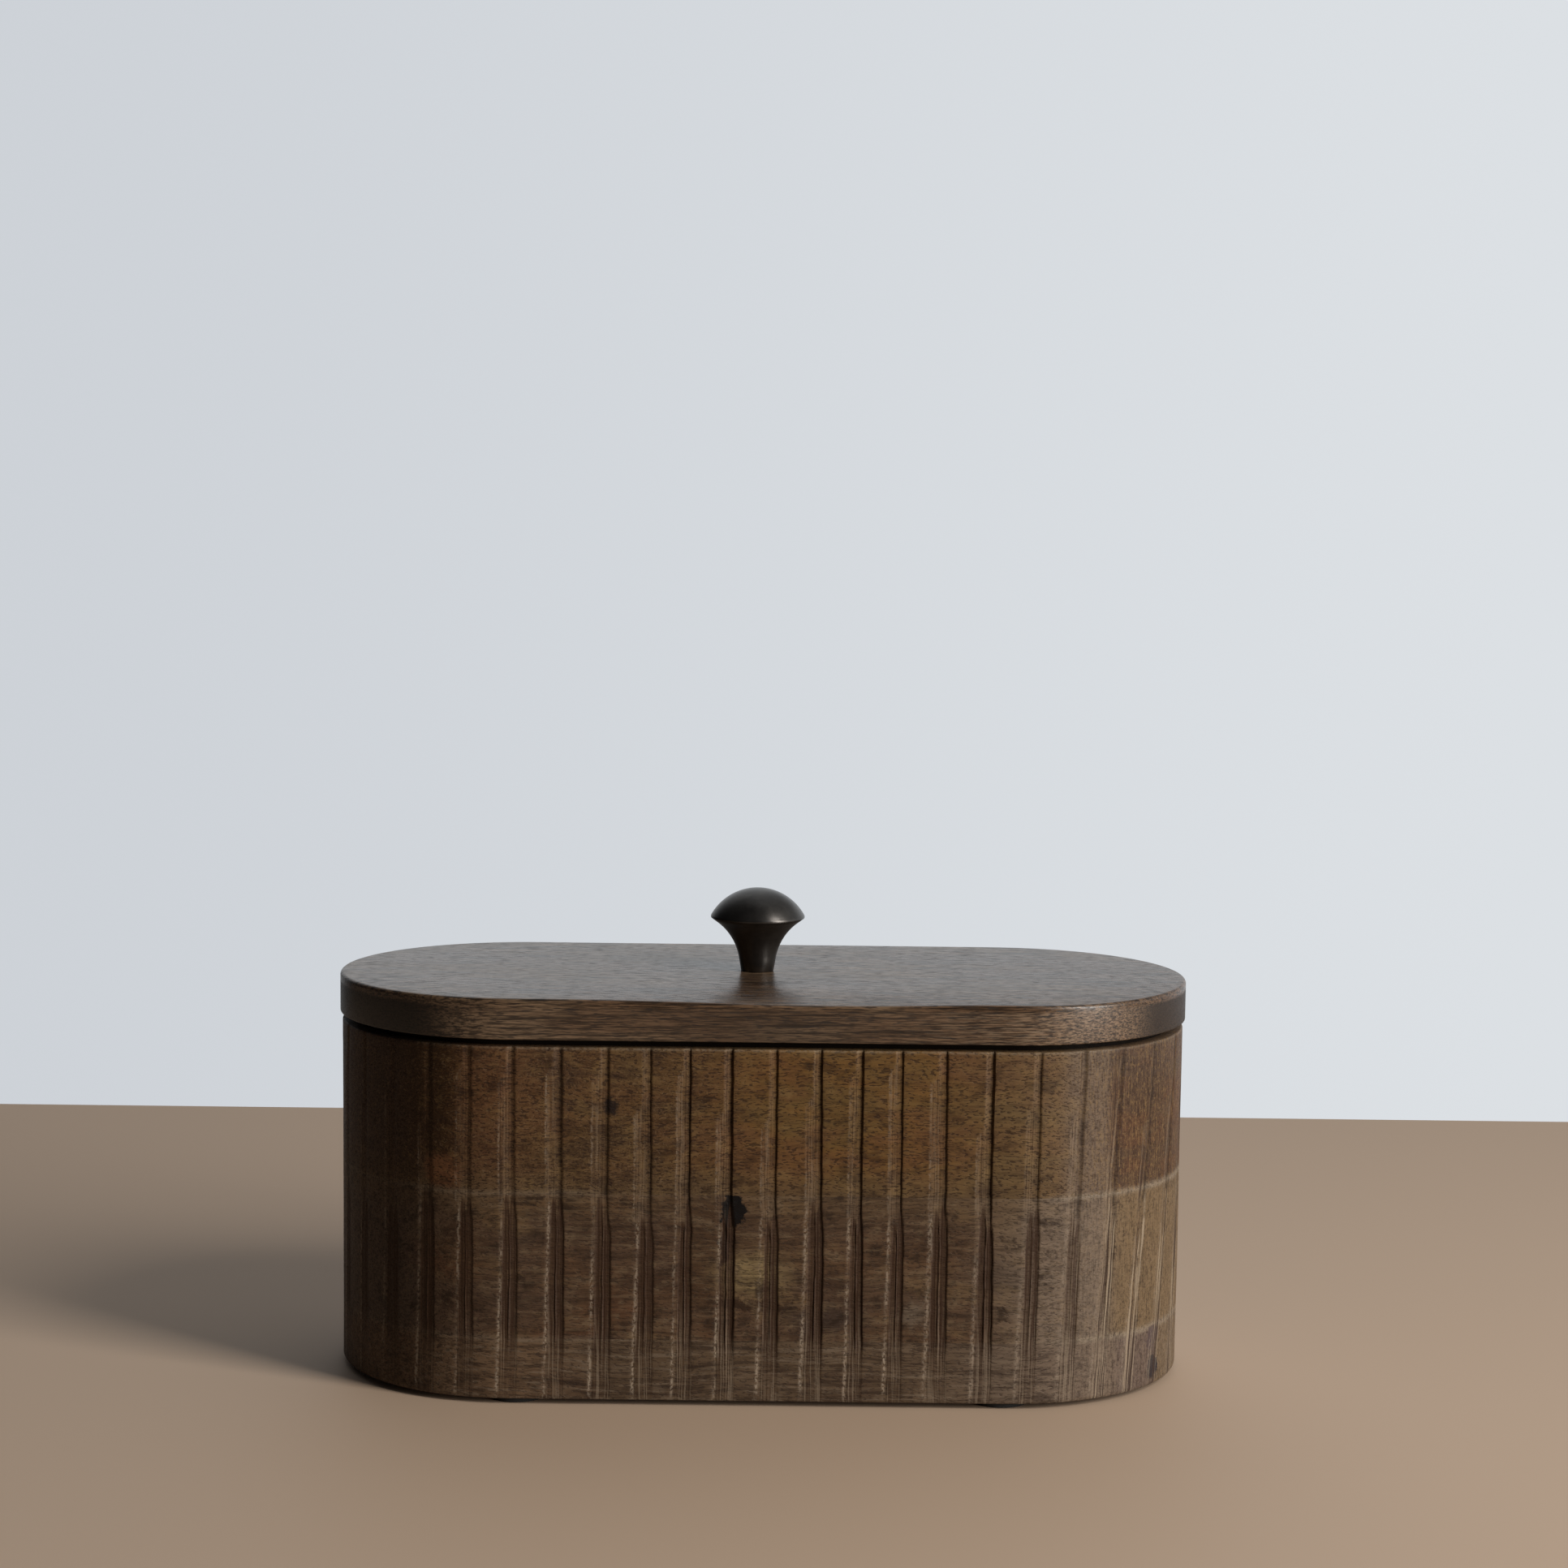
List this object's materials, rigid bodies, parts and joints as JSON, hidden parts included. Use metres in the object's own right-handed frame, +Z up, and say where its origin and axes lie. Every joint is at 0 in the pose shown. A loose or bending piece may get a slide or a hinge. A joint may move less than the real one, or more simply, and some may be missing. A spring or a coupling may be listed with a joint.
{
  "type": "lidded wooden box",
  "caption": "Long wooden storage box with half-round ends, upright hand-carved flutes, a lift-off lid located by an inset board, and a turned dark metal knob.",
  "frame": {"origin": "middle of the footprint, on the surface that the pads stand on", "axes": "+X along the length of the box to the right, +Y from the front to the back, +Z up"},
  "size_m": [0.26, 0.1128, 0.1473],
  "materials": {
    "upper_wood": "ochre-brown mango-type wood, waxed satin",
    "middle_wood": "greyish-brown mango-type wood, waxed satin",
    "base_wood": "greyish-brown mango-type wood with a dark stain, waxed satin",
    "lid_wood": "dark walnut-brown stain, satin",
    "inset_wood": "stained brown, satin",
    "knob_metal": "dark oil-rubbed bronze colour, satin",
    "screw_steel": "zinc plated",
    "pad_rubber": "matt black"
  },
  "bodies": {
    "box": {"upper_ring": "upper_wood", "middle_ring": "middle_wood", "base_board": "base_wood", "foot_front_left": "pad_rubber", "foot_front_right": "pad_rubber", "foot_back_left": "pad_rubber", "foot_back_right": "pad_rubber"},
    "lid": {"lid_board": "lid_wood", "lid_inset": "inset_wood", "knob": "knob_metal", "knob_screw": "screw_steel", "knob_washer": "screw_steel"}
  },
  "joints": [
    {"name": "lid_lift", "type": "slide", "parent": "box", "child": "lid", "axis": [0, 0, 1], "range_m": [0, 0.12]}
  ]
}
